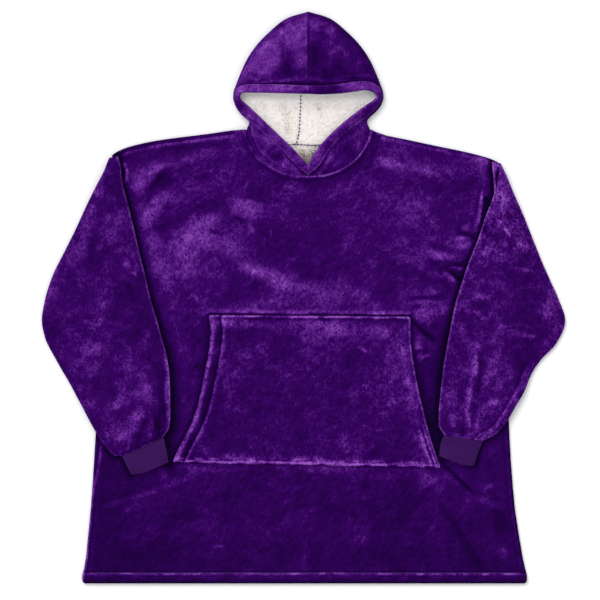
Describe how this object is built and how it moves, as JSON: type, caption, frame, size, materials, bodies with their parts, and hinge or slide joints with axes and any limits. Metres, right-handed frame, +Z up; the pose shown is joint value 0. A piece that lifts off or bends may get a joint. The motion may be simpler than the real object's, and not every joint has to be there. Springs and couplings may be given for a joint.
{
  "type": "wearable blanket hoodie",
  "caption": "Oversized hooded pullover blanket in plush fleece with a sherpa lining, laid flat with its sleeves folded over the front and a wide pouch pocket.",
  "frame": {"origin": "middle of the laid garment's outline, on the surface that it lies on", "axes": "+Z up out of the front, +Y towards the hood, -Y towards the hem, +X to the right as seen from above"},
  "size_m": [1.0474, 1.144, 0.0457],
  "materials": {
    "fleece": "brushed plush fleece, violet",
    "band": "turned edge of the plush fleece, violet",
    "rib": "matte rib knit, violet",
    "sherpa": "clumpy sherpa pile, off-white"
  },
  "bodies": {
    "root": {"front_panel": "fleece", "back_panel": "fleece", "neck_lining": "sherpa", "pocket": "fleece", "sleeve_left": "fleece", "sleeve_right": "fleece", "cuff_left": "rib", "cuff_right": "rib", "hood_left": "fleece", "hood_right": "fleece", "hood_lining_left": "sherpa", "hood_lining_right": "sherpa", "hood_band_left": "band", "hood_band_right": "band"}
  },
  "joints": []
}
